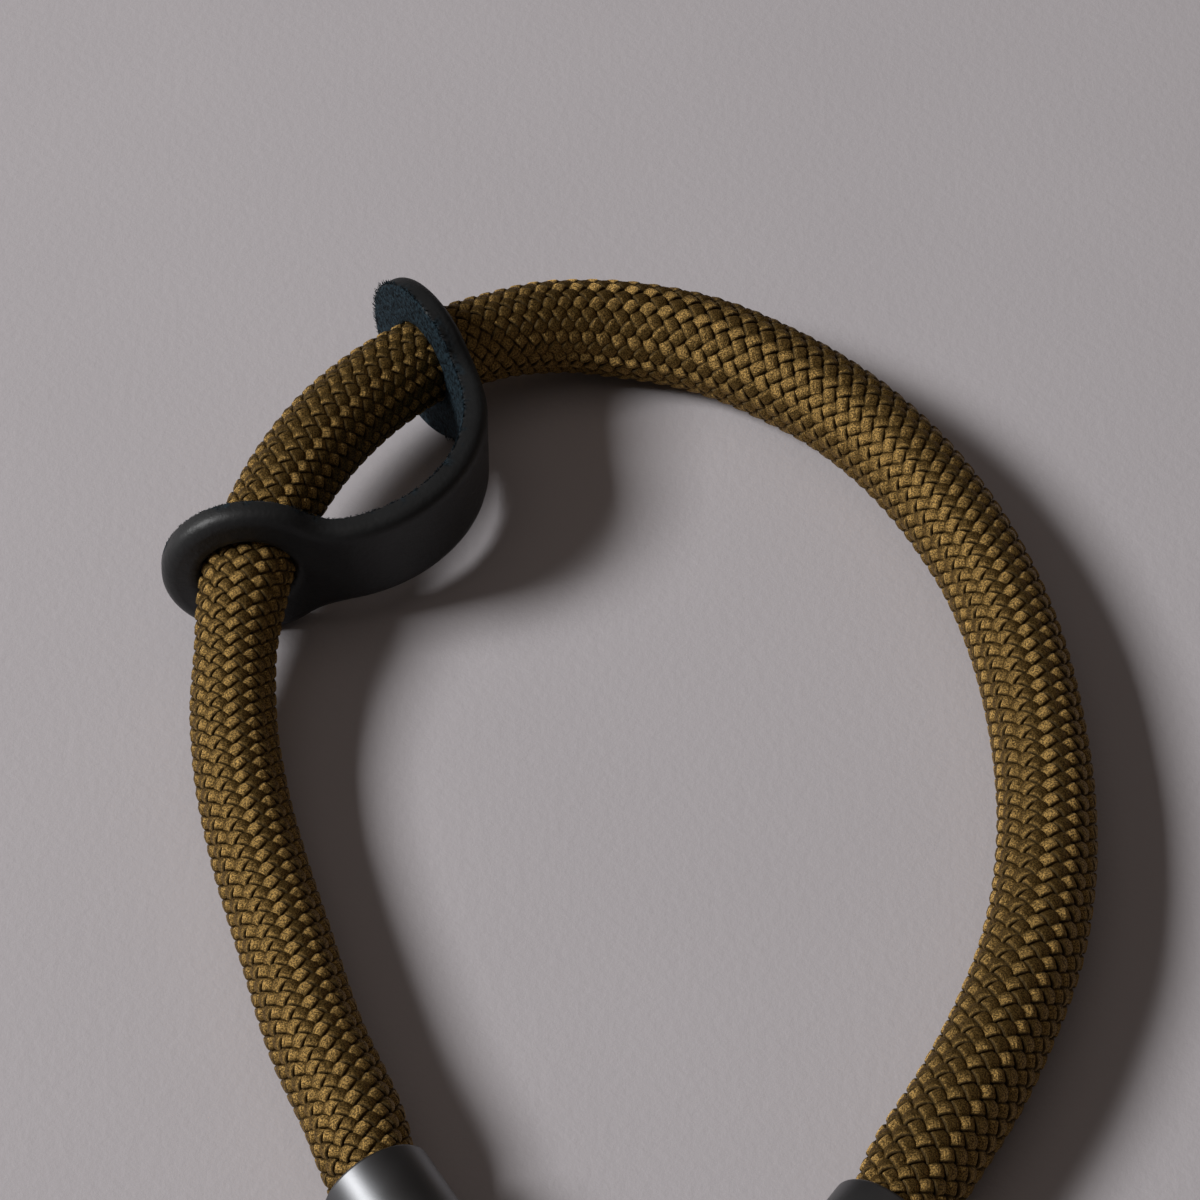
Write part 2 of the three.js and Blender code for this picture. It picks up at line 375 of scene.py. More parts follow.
def smoothed(values):
    """Rows averaged with their neighbours along the line, keeping both ends."""
    reach = int(round(SMOOTHING_REACH / LINE_STEP))
    weights = np.exp(-0.5 * (np.arange(-reach, reach + 1) * LINE_STEP / LINE_SMOOTHING) ** 2)
    weights /= weights.sum()
    head = 2 * values[0] - values[reach:0:-1]
    tail = 2 * values[-1] - values[-2:-reach - 2:-1]
    longer = np.vstack([head, values, tail])
    return np.stack([np.convolve(column, weights, mode="valid") for column in longer.T], axis=1)


class CordLine:
    """The cord's middle line at even steps, with its side and top directions and its radius."""

    def __init__(self):
        points, widths = route_through(cord_rows())
        along = along_of(points)
        even = np.arange(0.0, along[-1], LINE_STEP)
        self.points = smoothed(read_rows(even, along, points))
        self.along = along_of(self.points)
        self.length = self.along[-1]
        self.radius = np.interp(even, along, widths) / 2
        tangent = unit(np.gradient(self.points, axis=0))
        self.side = unit(np.cross(tangent, UP))
        self.top = np.cross(self.side, tangent)

    def at(self, lengths):
        """Middle points, sides, tops and radii at these lengths along the cord."""
        points = read_rows(lengths, self.along, self.points)
        side = unit(read_rows(lengths, self.along, self.side))
        top = unit(read_rows(lengths, self.along, self.top))
        return points, side, top, np.interp(lengths, self.along, self.radius)


# The braid

class Braid:
    """Where the strands lie: how far they have turned round the cord at each length along it."""

    def __init__(self, line):
        self.line = line
        spacing = np.interp(2 * line.radius, (TIGHT_WIDTH, SLACK_WIDTH), (TIGHT_SPACING, SLACK_SPACING))
        steps = CROSSINGS_PER_WAVE / spacing[1:] * np.diff(line.along)
        crossings = np.concatenate([[0.0], np.cumsum(steps)])
        inside = CORD_END_DEPTH - BRAID_END_DEPTH
        first, last = np.interp([inside, line.length - inside], line.along, crossings)
        self.crossings = np.arange(first, last, CROSSINGS_PER_WAVE / SAMPLES_PER_WAVE)
        self.lengths = np.interp(self.crossings, crossings, line.along)

    def strand(self, number, lay):
        """One strand's rings of points, its lift out of the braid and its length so far. lay is 1 or -1."""
        points, side, top, radius = self.line.at(self.lengths)
        turned = self.crossings * math.pi / STRANDS_EACH_WAY
        angle = 2 * math.pi * number / STRANDS_EACH_WAY + lay * turned + math.radians(BRAID_TURN)
        lift = lay * np.cos(math.pi * self.crossings)
        lift = np.tanh(WAVE_SHARPNESS * lift) / math.tanh(WAVE_SHARPNESS)
        out = np.cos(angle)[:, None] * side + np.sin(angle)[:, None] * top
        reach = radius - STRAND_HALF_THICKNESS - STRAND_WAVE * (1.0 - lift)
        middle = points + reach[:, None] * out
        along = unit(np.gradient(middle, axis=0))
        across = unit(np.cross(along, out))
        proud = np.cross(across, along)
        fullness = radius / (SLACK_WIDTH / 2)
        half_width = STRAND_HALF_WIDTH * fullness * (1.0 + STRAND_WIDTH_SWELL * (lift - 1.0))
        half_thickness = STRAND_HALF_THICKNESS * (1.0 + STRAND_THICKNESS_SWELL * (lift - 1.0))
        wide, tall, _ = np.array(STRAND_SECTION).T
        sideways = (half_width[:, None] * wide)[:, :, None] * across[:, None, :]
        upwards = (half_thickness[:, None] * tall)[:, :, None] * proud[:, None, :]
        rings = middle[:, None, :] + sideways + upwards
        return rings, lift, along_of(middle)


def strand_corner_maps(lengths, place, places):
    """Per face corner of one strand: its own map in millimetres, and its strip of a map of all strands."""
    rings = len(lengths)
    ring, side = np.meshgrid(np.arange(rings - 1), np.arange(STRAND_SIDES), indexing="ij")
    rows = np.stack([ring, ring, ring + 1, ring + 1], axis=-1).reshape(-1, 4)
    columns = np.stack([side, side + 1, side + 1, side], axis=-1).reshape(-1, 4)
    ends = np.arange(STRAND_SIDES)
    rows = np.concatenate([rows.ravel(), np.zeros(STRAND_SIDES, int), np.full(STRAND_SIDES, rings - 1)])
    columns = np.concatenate([columns.ravel(), ends[::-1], ends])
    round_share = columns / STRAND_SIDES
    girth = 2 * math.pi * math.sqrt((STRAND_HALF_WIDTH ** 2 + STRAND_HALF_THICKNESS ** 2) / 2)
    own = np.stack([lengths[rows], round_share * girth], axis=1)
    strip = np.stack([lengths[rows] / lengths[-1], (place + round_share) / places], axis=1)
    return own, strip


def make_braid(line, material):
    """The strands of both lays, in a few pieces of evenly spread strands."""
    braid = Braid(line)
    pieces = []
    for lay, lay_name in ((1, "right"), (-1, "left")):
        for group in range(STRAND_GROUPS):
            numbers = range(group, STRANDS_EACH_WAY, STRAND_GROUPS)
            points, faces, own, strip, lifts, tones, sides = [], [], [], [], [], [], []
            for place, number in enumerate(numbers):
                rings, lift, lengths = braid.strand(number, lay)
                faces += tube_faces(len(rings), STRAND_SIDES, place * rings.shape[0] * STRAND_SIDES)
                points.append(rings.reshape(-1, 3))
                maps = strand_corner_maps(lengths, place, len(numbers))
                own.append(maps[0] + [random.uniform(0.0, STRAND_MAP_SHIFT), 0.0])
                strip.append(maps[1])
                lifts.append(np.repeat(lift, STRAND_SIDES))
                # Painted shade on the strand's sides: 1 where the gloss is darkened
                sides.append(np.tile([shade_painted for _, _, shade_painted in STRAND_SECTION], len(rings)))
                tones.append(np.full(len(rings) * STRAND_SIDES, random.uniform()))
            piece = make_piece(f"braid_{lay_name}_{group + 1}", np.vstack(points), faces, material)
            add_map(piece, "strand", np.vstack(own))
            add_map(piece, "OFBake", np.vstack(strip))
            add_values(piece, "lift", np.concatenate(lifts))
            add_values(piece, "tone", np.concatenate(tones))
            add_values(piece, "side_shade_painted", np.concatenate(sides))
            pieces.append(piece)
    return pieces


def make_core(line, material):
    """The filling inside the braid: one tube along the whole cord."""
    lengths = np.linspace(0.0, line.length, int(line.length / CORE_STEP))
    points, side, top, radius = line.at(lengths)
    turn = 2 * math.pi * np.arange(CORE_SIDES) / CORE_SIDES
    out = np.cos(turn)[None, :, None] * side[:, None, :] + np.sin(turn)[None, :, None] * top[:, None, :]
    rings = points[:, None, :] + (radius - CORE_INSET)[:, None, None] * out
    faces = tube_faces(len(rings), CORE_SIDES)
    core = make_piece("cord_core", rings.reshape(-1, 3), faces, material)
    face_outwards(core)
    return core, points


# The slider

def strip_place(along):
    """x, y and heading of places along the strip's middle line, counted from its middle."""
    x, y, heading = SLIDER_START
    first = math.radians(heading)
    turn = math.radians(SLIDER_BEND_ANGLE)
    radius = SLIDER_BEND_LENGTH / turn
    from_hole = along + SLIDER_HOLE_SPACING / 2
    headings = first + turn * np.clip((from_hole - SLIDER_LEAD) / SLIDER_BEND_LENGTH, 0.0, 1.0)
    before = np.minimum(from_hole, SLIDER_LEAD)
    after = np.maximum(from_hole - SLIDER_LEAD - SLIDER_BEND_LENGTH, 0.0)
    arc_x = radius * (np.sin(headings) - math.sin(first))
    arc_y = radius * (math.cos(first) - np.cos(headings))
    place_x = x + before * math.cos(first) + arc_x + after * np.cos(headings)
    place_y = y + before * math.sin(first) + arc_y + after * np.sin(headings)
    return place_x, place_y, headings


def bent(flat, out):
    """Flat places (along, across) on the bent strip, moved out of its middle surface."""
    x, y, heading = strip_place(flat[..., 0])
    z = np.maximum(SLIDER_HEIGHT + flat[..., 1], 0.0)
    return np.stack([x + out * np.sin(heading), y - out * np.cos(heading), z], axis=-1)


class StripOutline:
    """The flat strip's half outline: a straight waist, a fillet and a round end."""

    def __init__(self):
        self.end = SLIDER_HOLE_SPACING / 2
        reach = SLIDER_END_RADIUS + SLIDER_FILLET
        self.fillet_middle = SLIDER_WAIST / 2 + SLIDER_FILLET
        self.cut = self.end - math.sqrt(reach ** 2 - self.fillet_middle ** 2)
        self.lean = math.asin(self.fillet_middle / reach)
        self.round_from = self.cut + SLIDER_FILLET * math.cos(self.lean)

    def half(self, along):
        """Half the strip's width at a length from its middle."""
        along = np.abs(along)
        in_fillet = np.clip(along - self.cut, 0.0, SLIDER_FILLET)
        fillet = self.fillet_middle - np.sqrt(SLIDER_FILLET ** 2 - in_fillet ** 2)
        in_end = np.clip(along - self.end, -SLIDER_END_RADIUS, SLIDER_END_RADIUS)
        round_end = np.sqrt(SLIDER_END_RADIUS ** 2 - in_end ** 2)
        return np.where(along < self.round_from, fillet, round_end)

    def distance(self, flat):
        """How far flat places inside the strip lie from its outline."""
        along = np.abs(flat[..., 0])
        across = np.abs(flat[..., 1])
        waist = SLIDER_WAIST / 2 - across
        fillet = np.hypot(along - self.cut, across - self.fillet_middle) - SLIDER_FILLET
        round_end = SLIDER_END_RADIUS - np.hypot(along - self.end, across)
        inner = np.where(along < self.cut, waist, fillet)
        return np.maximum(np.where(along < self.round_from, inner, round_end), 0.0)


def ray_reach(outline, directions):
    """How far rays from the hole's middle run before they leave the round end or reach the cut."""
    steps = np.linspace(0.0, RAY_LENGTH, RAY_STEPS)
    along = outline.end + directions[:, :1] * steps
    across = np.abs(directions[:, 1:] * steps)
    inside = (across <= outline.half(along)) & (along >= outline.cut)
    return steps[np.argmin(inside, axis=1)]


def hole_reach(line, outline, directions, sign, out):
    """How far rays from a hole's middle run before they leave the cord, less the leather's press on it."""
    steps = np.linspace(0.0, SLIDER_END_RADIUS - HOLE_LEAST_RIM, HOLE_STEPS)
    flat = np.stack([sign * (outline.end + directions[:, :1] * steps), directions[:, 1:] * steps], axis=-1)
    places = bent(flat, out)
    middle = bent(np.array([sign * outline.end, 0.0]), 0.0)
    near = np.linalg.norm(line.points - middle, axis=1) < NEAR_HOLE
    points = line.points[near][::NEAR_HOLE_STRIDE]
    radius = line.radius[near][::NEAR_HOLE_STRIDE]
    apart = np.linalg.norm(places[:, :, None, :] - points, axis=-1) - radius
    clear = apart.min(axis=2) > -HOLE_PRESS
    return steps[np.argmax(clear, axis=1)]


def end_rays(outline):
    """Directions from a hole's middle: round the end from the upper cut corner, then up along the cut."""
    corner = math.atan2(SLIDER_WAIST / 2, outline.cut - outline.end)
    angles = np.linspace(corner, -corner, SLIDER_END_RAYS)
    offsets = np.array(EDGE_OFFSETS)
    half = SLIDER_WAIST / 2
    middle = np.linspace(offsets[-1] - half, half - offsets[-1], SLIDER_CUT_ROWS)[1:-1]
    rows = np.concatenate([offsets - half, middle, half - offsets[::-1]])
    inner = rows[1:-1]
    cut = np.arctan2(inner, np.full(len(inner), outline.cut - outline.end))
    angles = np.concatenate([angles, cut])
    return np.stack([np.cos(angles), np.sin(angles)], axis=1), rows


def ring_places(start, stop):
    """Distances from a hole's middle, close together at both of its edges."""
    offsets = np.array(EDGE_OFFSETS)
    inner = start[:, None] + offsets
    outer = stop[:, None] - offsets[::-1]
    share = np.linspace(0.0, 1.0, SLIDER_RINGS)[1:-1]
    between = inner[:, -1:] + (outer[:, :1] - inner[:, -1:]) * share
    return np.concatenate([inner, between, outer], axis=1)


def end_faces(rays, rings, first):
    """Quads between neighbouring rays, all the way round one end."""
    ray, ring = np.meshgrid(np.arange(rays), np.arange(rings - 1), indexing="ij")
    after = (ray + 1) % rays
    quads = [ray * rings + ring, ray * rings + ring + 1, after * rings + ring + 1, after * rings + ring]
    return (first + np.stack(quads, axis=-1).reshape(-1, 4)).tolist()


def ladder_faces(ladder):
    """Quads between neighbouring columns of points."""
    faces = []
    for low, high in zip(ladder, ladder[1:]):
        for k in range(len(low) - 1):
            faces.append([low[k], high[k], high[k + 1], low[k + 1]])
    return faces


def slider_side(line, outline, out):
    """One face of the strip: flat places, distance from the nearest edge, faces, and its edge loops."""
    directions, rows = end_rays(outline)
    rays = len(directions)
    stop = ray_reach(outline, directions)
    flat, edge, faces, holes = [], [], [], []
    for sign in (1, -1):
        start = hole_reach(line, outline, directions, sign, out)
        places = ring_places(start, stop)
        rings = places.shape[1]
        grid = np.stack(
            [sign * (outline.end + directions[:, :1] * places), directions[:, 1:] * places], axis=-1
        )
        from_hole = places - start[:, None]
        first = len(flat) * rays * rings
        flat.append(grid.reshape(-1, 2))
        edge.append(np.minimum(from_hole, outline.distance(grid)).ravel())
        faces += end_faces(rays, rings, first)
        holes.append([first + k * rings for k in range(rays)])
    # The waist joins both ends at the cut, row by row
    cut_rays = list(range(SLIDER_END_RAYS - 1, rays)) + [0]
    block = rays * rings
    right = [k * rings + rings - 1 for k in cut_rays]
    left = [block + k for k in right]
    columns = np.linspace(-outline.cut, outline.cut, SLIDER_COLUMNS)[1:-1]
    waist = np.stack(np.meshgrid(columns, rows, indexing="ij"), axis=-1).reshape(-1, 2)
    first = 2 * block
    ladder = [left]
    for k in range(len(columns)):
        ladder.append([first + k * len(rows) + j for j in range(len(rows))])
    ladder.append(right)
    faces += ladder_faces(ladder)
    flat.append(waist)
    edge.append(outline.distance(waist))
    outer = [k * rings + rings - 1 for k in range(SLIDER_END_RAYS)]
    bottom = [step[0] for step in ladder[-2:0:-1]]
    top = [step[-1] for step in ladder[1:-1]]
    loop = outer + bottom + [block + k for k in reversed(outer)] + top
    return np.vstack(flat), np.concatenate(edge), faces, [loop] + holes


def make_slider(line, material):
    """The leather strip with rounded edges and two holes that fit the cord, and its suede side's outline."""
    outline = StripOutline()
    points, faces, flats, edges, suede = [], [], [], [], []
    loops = []
    for side in (1, -1):
        flat, edge, side_faces, side_loops = slider_side(line, outline, side * SLIDER_THICKNESS / 2)
        first = sum(len(block) for block in points)
        corner = SLIDER_GRAIN_ROUND if side > 0 else SLIDER_SUEDE_ROUND
        inset = corner - np.minimum(edge, corner)
        drop = corner - np.sqrt(corner ** 2 - inset ** 2)
        out = side * (SLIDER_THICKNESS / 2 - drop)
        points.append(bent(flat, out))
        flats.append(flat)
        edges.append(edge)
        suede.append(np.full(len(flat), 0.0 if side > 0 else 1.0))
        faces += [[first + k for k in face] for face in side_faces]
        loops.append([[first + k for k in loop] for loop in side_loops])
    for outer, inner in zip(*loops):
        for k in range(len(outer)):
            after = (k + 1) % len(outer)
            faces.append([outer[k], outer[after], inner[after], inner[k]])
    piece = make_piece("slider_leather", np.vstack(points), faces, material)
    face_outwards(piece)
    flat = np.vstack(flats)
    first_end_share = 0.5 - flat[:, 0] / SLIDER_HOLE_SPACING
    add_values(piece, "burnish", np.clip(first_end_share, 0.0, 1.0))
    add_values(piece, "edge", 1.0 - smoothstep(0.0, EDGE_WEAR_REACH, np.concatenate(edges)))
    add_values(piece, "suede", np.concatenate(suede))
    return piece, flat[loops[1][0]]


def make_fibres(outline, material):
    """Short fibres torn from the suede side's edge."""
    closed = np.vstack([outline, outline[:1]])
    along = along_of(closed)
    tangent = unit(np.roll(outline, -1, axis=0) - np.roll(outline, 1, axis=0))
    turn = np.sign(np.sum(outline[:, 0] * tangent[:, 1] - outline[:, 1] * tangent[:, 0]))
    outward = turn * np.stack([tangent[:, 1], -tangent[:, 0]], axis=1)
    starts = np.sort(random.uniform(0.0, along[-1], int(FIBRES_PER_MM * along[-1])))
    roots = read_rows(starts, along, closed)
    starts = starts[SLIDER_HEIGHT + roots[:, 1] > FIBRE_FLOOR_GAP]
    roots = read_rows(starts, along, closed)
    away = unit(read_rows(starts, along, np.vstack([outward, outward[:1]])))[:, None, :]
    beside = unit(read_rows(starts, along, np.vstack([tangent, tangent[:1]])))[:, None, :]
    count = len(starts)
    share = np.linspace(0.0, 1.0, FIBRE_STEPS)[None, :, None]
    half = SLIDER_HOLE_SPACING / 2
    fraying = np.interp(roots[:, 0], (-half, half), (FIBRE_FIRST_END_SHARE, 1.0))
    reach = random.uniform(*FIBRE_REACH, (count, 1, 1)) * fraying[:, None, None]
    lean = random.normal(0.0, FIBRE_LEAN, (count, 1, 1))
    curl = random.uniform(*FIBRE_CURL, (count, 1))
    flat = roots[:, None, :] + away * (reach * share - FIBRE_ROOT) + beside * lean * share ** 2
    out = FIBRE_ROOT - SLIDER_THICKNESS / 2 - curl * share[:, :, 0] ** 2
    middle = bent(flat, out)
    course = unit(np.gradient(middle, axis=1))
    side = unit(np.cross(course, random.normal(size=(count, 1, 3))))
    top = np.cross(side, course)
    angle = 2 * math.pi * np.arange(FIBRE_SIDES) / FIBRE_SIDES
    radius = FIBRE_RADIUS * (1.0 - FIBRE_TAPER * share)[..., None]
    spokes = np.cos(angle)[:, None] * side[:, :, None, :] + np.sin(angle)[:, None] * top[:, :, None, :]
    points = (middle[:, :, None, :] + radius * spokes).reshape(-1, 3)
    faces = []
    for number in range(count):
        faces += tube_faces(FIBRE_STEPS, FIBRE_SIDES, number * FIBRE_STEPS * FIBRE_SIDES)
    piece = make_piece("slider_fibres", points, faces, material)
    face_outwards(piece)
    add_values(piece, "suede", np.ones(len(points)))


# Caps and ring

def turned(profile, sides):
    """A closed shape turned about the Y axis from a profile (radius, height) that starts and ends on it."""
    turn = 2 * math.pi * np.arange(sides) / sides
    middle = np.array(profile[1:-1])
    rings = np.stack(
        [
            middle[:, :1] * np.cos(turn),
            np.repeat(middle[:, 1:], sides, axis=1),
            middle[:, :1] * np.sin(turn),
        ],
        axis=-1,
    )
    points = rings.reshape(-1, 3).tolist()
    faces = tube_faces(len(rings), sides)[:-2]
    for height, ring in ((profile[0][1], 0), (profile[-1][1], len(rings) - 1)):
        tip = len(points)
        points.append([0.0, height, 0.0])
        faces += [[tip, ring * sides + k, ring * sides + (k + 1) % sides] for k in range(sides)]
    return np.array(points), faces


def torus(radius, wire_radius):
    """A ring lying in the XY plane."""
    big = 2 * math.pi * np.arange(TORUS_STEPS) / TORUS_STEPS
    small = 2 * math.pi * np.arange(TORUS_SIDES) / TORUS_SIDES
    reach = radius + wire_radius * np.cos(small)
    x = np.cos(big)[:, None] * reach
    y = np.sin(big)[:, None] * reach
    z = np.repeat((wire_radius * np.sin(small))[None, :], TORUS_STEPS, axis=0)
    step, side = np.meshgrid(np.arange(TORUS_STEPS), np.arange(TORUS_SIDES), indexing="ij")
    next_step = (step + 1) % TORUS_STEPS * TORUS_SIDES
    next_side = (side + 1) % TORUS_SIDES
    quads = [
        step * TORUS_SIDES + side,
        next_step + side,
        next_step + next_side,
        step * TORUS_SIDES + next_side,
    ]
    return np.stack([x, y, z], axis=-1).reshape(-1, 3), np.stack(quads, axis=-1).reshape(-1, 4).tolist()


def arc(middle_radius, middle_height, radius_x, radius_y, start, stop):
    """Profile points on a quarter of an ellipse."""
    angles = np.radians(np.linspace(start, stop, CAP_ARC_STEPS))
    return [
        (middle_radius + radius_x * math.cos(angle), middle_height + radius_y * math.sin(angle))
        for angle in angles
    ]


def cap_profile():
    """A cup with a rounded rim at height zero and a domed closed end."""
    bore = CAP_RADIUS - CAP_WALL
    rim = CAP_RIM_ROUND
    inner = arc(bore + rim, rim, rim, rim, 180, 270)
    outer = arc(CAP_RADIUS - rim, rim, rim, rim, 270, 360)
    dome_width = CAP_RADIUS - CAP_NECK_RADIUS
    dome_length = CAP_LENGTH - CAP_BODY_LENGTH
    dome = arc(CAP_NECK_RADIUS, CAP_BODY_LENGTH, dome_width, dome_length, 0, 90)
    floor = [(0.0, CAP_BORE_DEPTH), (bore, CAP_BORE_DEPTH)]
    return floor + inner + outer + dome + [(0.0, CAP_LENGTH)]


def placed(points, origin, x_axis, y_axis, z_axis):
    return np.asarray(origin) + points @ np.array([x_axis, y_axis, z_axis])


def make_cap(name, material):
    """A smooth cup and its eye, joined into one closed mesh."""
    heading = math.radians(CAPS[name][2])
    along = np.array([math.cos(heading), math.sin(heading), 0.0])
    across = np.cross(UP, along)
    cup_points, cup_faces = turned(cap_profile(), CAP_SIDES)
    eye_points, eye_faces = torus(EYE_RADIUS, EYE_WIRE_RADIUS)
    eye_points = eye_points + [0.0, EYE_CENTRE, 0.0]
    mouth = cap_point(name, 0.0)
    cup_points = placed(cup_points, mouth, UP, along, across)
    eye_points = placed(eye_points, mouth, UP, along, across)
    cap = make_piece(name.replace("end_cap", "cap"), cup_points, cup_faces, material)
    eye = make_piece("eye", eye_points, eye_faces, material)
    face_outwards(cap)
    face_outwards(eye)
    join = cap.modifiers.new("join", "BOOLEAN")
    join.operation = "UNION"
    join.solver = "EXACT"
    join.object = eye
    bpy.context.view_layer.update()
    joined = bpy.data.meshes.new_from_object(cap.evaluated_get(bpy.context.evaluated_depsgraph_get()))
    cap.modifiers.clear()
    cap.data = joined
    bpy.data.objects.remove(eye)
    cap.data.polygons.foreach_set("use_smooth", np.ones(len(cap.data.polygons), dtype=bool))
    cap.data.set_sharp_from_angle(angle=math.radians(CAP_SHARP_ANGLE))
    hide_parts(name)


def make_ring(material):
    """The plain ring through both eyes, tilted until its far side lies on the surface."""
    left, right = (np.array(cap_point(cap, EYE_CENTRE + RING_PULL)) for cap in CAPS)
    chord = right - left
    half_chord = np.linalg.norm(chord) / 2
    chord = unit(chord)
    away = np.cross(chord, UP)
    offset = math.sqrt(RING_RADIUS ** 2 - half_chord ** 2)
    seat = CAP_RADIUS - RING_SAG
    tilt = math.asin((seat - RING_WIRE_RADIUS) / (offset + RING_RADIUS))
    middle = (left + right) / 2
    middle[2] = seat
    outward = math.cos(tilt) * away - math.sin(tilt) * UP
    points, faces = torus(RING_RADIUS, RING_WIRE_RADIUS)
    points = placed(points, middle + offset * outward, chord, outward, np.cross(chord, outward))
    ring = make_piece("ring", points, faces, material)
    face_outwards(ring)
    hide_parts("joining_ring")


# Materials

class Nodes:
    """A material's node tree, with short calls to add and link nodes."""

    # The Mix node's sockets for colours
    MIX_FIRST = 6
    MIX_SECOND = 7
    MIX_RESULT = 2

    def __init__(self, name):
        self.material = bpy.data.materials.new(name)
        self.material.use_nodes = True
        self.tree = self.material.node_tree
        self.shader = self.tree.nodes["Principled BSDF"]

    def add(self, kind, settings=None, **inputs):
        node = self.tree.nodes.new(kind)
        for key, value in (settings or {}).items():
            setattr(node, key, value)
        for key, value in inputs.items():
            self.feed(node.inputs[key.replace("_", " ")], value)
        return node

    def feed(self, socket, value):
        if isinstance(value, bpy.types.NodeSocket):
            self.tree.links.new(value, socket)
        elif isinstance(value, bpy.types.Node):
            self.tree.links.new(value.outputs[0], socket)
        else:
            socket.default_value = value

    def shade(self, **inputs):
        for key, value in inputs.items():
            self.feed(self.shader.inputs[key.replace("_", " ")], value)

    def places(self):
        """Places on the piece itself, in metres."""
        return self.add("ShaderNodeTexCoord").outputs["Object"]

    def map(self, name, scale, rotation=(0.0, 0.0, 0.0)):
        places = self.add("ShaderNodeUVMap", {"uv_map": name})
        return self.add("ShaderNodeMapping", Vector=places, Scale=scale, Rotation=rotation)

    def noise(self, places, scale=1.0, detail=2.0, roughness=0.5):
        return self.add("ShaderNodeTexNoise", Vector=places, Scale=scale, Detail=detail, Roughness=roughness)

    def span(self, value, low, high, to_low=0.0, to_high=1.0):
        """A value read on one range and moved to another."""
        node = self.add("ShaderNodeMapRange", Value=value)
        self.feed(node.inputs["From Min"], low)
        self.feed(node.inputs["From Max"], high)
        self.feed(node.inputs["To Min"], to_low)
        self.feed(node.inputs["To Max"], to_high)
        return node

    def blend(self, share, first, second, kind="MIX"):
        node = self.add("ShaderNodeMix", {"data_type": "RGBA", "blend_type": kind}, Factor=share)
        self.feed(node.inputs[self.MIX_FIRST], first)
        self.feed(node.inputs[self.MIX_SECOND], second)
        return node.outputs[self.MIX_RESULT]

    def red_share(self, part, whole):
        """How much of a colour's red comes from one part of it."""
        node = self.add("ShaderNodeMath", {"operation": "DIVIDE"})
        for socket, colour in zip(node.inputs, (part, whole)):
            self.feed(socket, self.add("ShaderNodeSeparateColor", Color=colour).outputs["Red"])
        return node

    def value(self, name):
        return self.add("ShaderNodeAttribute", {"attribute_name": name}).outputs["Fac"]

    def bump(self, height, strength, distance):
        return self.add("ShaderNodeBump", Height=height, Strength=strength, Distance=distance)


def yarn_material():
    """Brown filament yarn that glints in fine dots, with painted shade where it dives under and on strand
    sides.

    Its gloss has the yarn's own colour, so the gloss's share of the whole colour is set as Metallic."""
    nodes = Nodes("braid_yarn")
    loops = nodes.noise(nodes.map("strand", YARN_LOOPS, YARN_LOOP_SLANT), roughness=0.6)
    dots = nodes.noise(nodes.map("strand", YARN_DOTS), roughness=0.75)
    patches = nodes.noise(nodes.map("strand", YARN_PATCHES))
    lift = nodes.value("lift")
    body = nodes.blend(nodes.span(dots, 0.4, 0.6), YARN_BODY_DARK, YARN_BODY_LIGHT)
    tone = nodes.span(nodes.value("tone"), 0.0, 1.0, 0.0, YARN_TONE_SHARE)
    toned = nodes.blend(tone, body, YARN_BODY_TONE)
    patched = nodes.blend(nodes.span(patches, 0.35, 0.75, 0.0, YARN_PATCH_SHARE), toned, YARN_BODY_PATCH)
    # Painted shade: body and gloss are darker where the strand dives under
    shade_painted = nodes.blend(nodes.span(lift, -0.6, 0.5), YARN_BODY_PAINTED_SHADE, patched)
    gloss_shade_painted = nodes.blend(nodes.span(lift, -0.3, 0.6), YARN_GLOSS_PAINTED_SHADE, YARN_GLOSS)
    glint = nodes.blend(nodes.span(dots, 0.44, 0.56), YARN_GLOSS_GRAIN, gloss_shade_painted)
    # Painted shade: gloss darkened on the strands' sides
    gloss = nodes.blend(nodes.value("side_shade_painted"), glint, YARN_GLOSS_PAINTED_SIDE_SHADE)
    colour = nodes.blend(1.0, shade_painted, gloss, "ADD")
    roughness = nodes.span(dots, 0.4, 0.6, YARN_DULL_ROUGHNESS, YARN_DOT_ROUGHNESS)
    relief = nodes.bump(nodes.blend(YARN_DOT_RELIEF_SHARE, loops, dots), 1.0, YARN_RELIEF * MM)
    along = nodes.add("ShaderNodeTangent", {"direction_type": "UV_MAP", "uv_map": "strand"})
    nodes.shade(Base_Color=colour, Metallic=nodes.red_share(gloss, colour), Roughness=roughness)
    nodes.shade(Normal=relief, Anisotropic=YARN_ANISOTROPY, Tangent=along)
    return nodes.material


def core_material():
    """The dark filling seen between strands."""
    nodes = Nodes("cord_filling")
    grain = nodes.noise(nodes.places(), scale=900.0, detail=3.0)
    nodes.shade(Base_Color=nodes.blend(grain, FILLING_DARK, FILLING_LIGHT), Roughness=FILLING_ROUGHNESS)
    return nodes.material


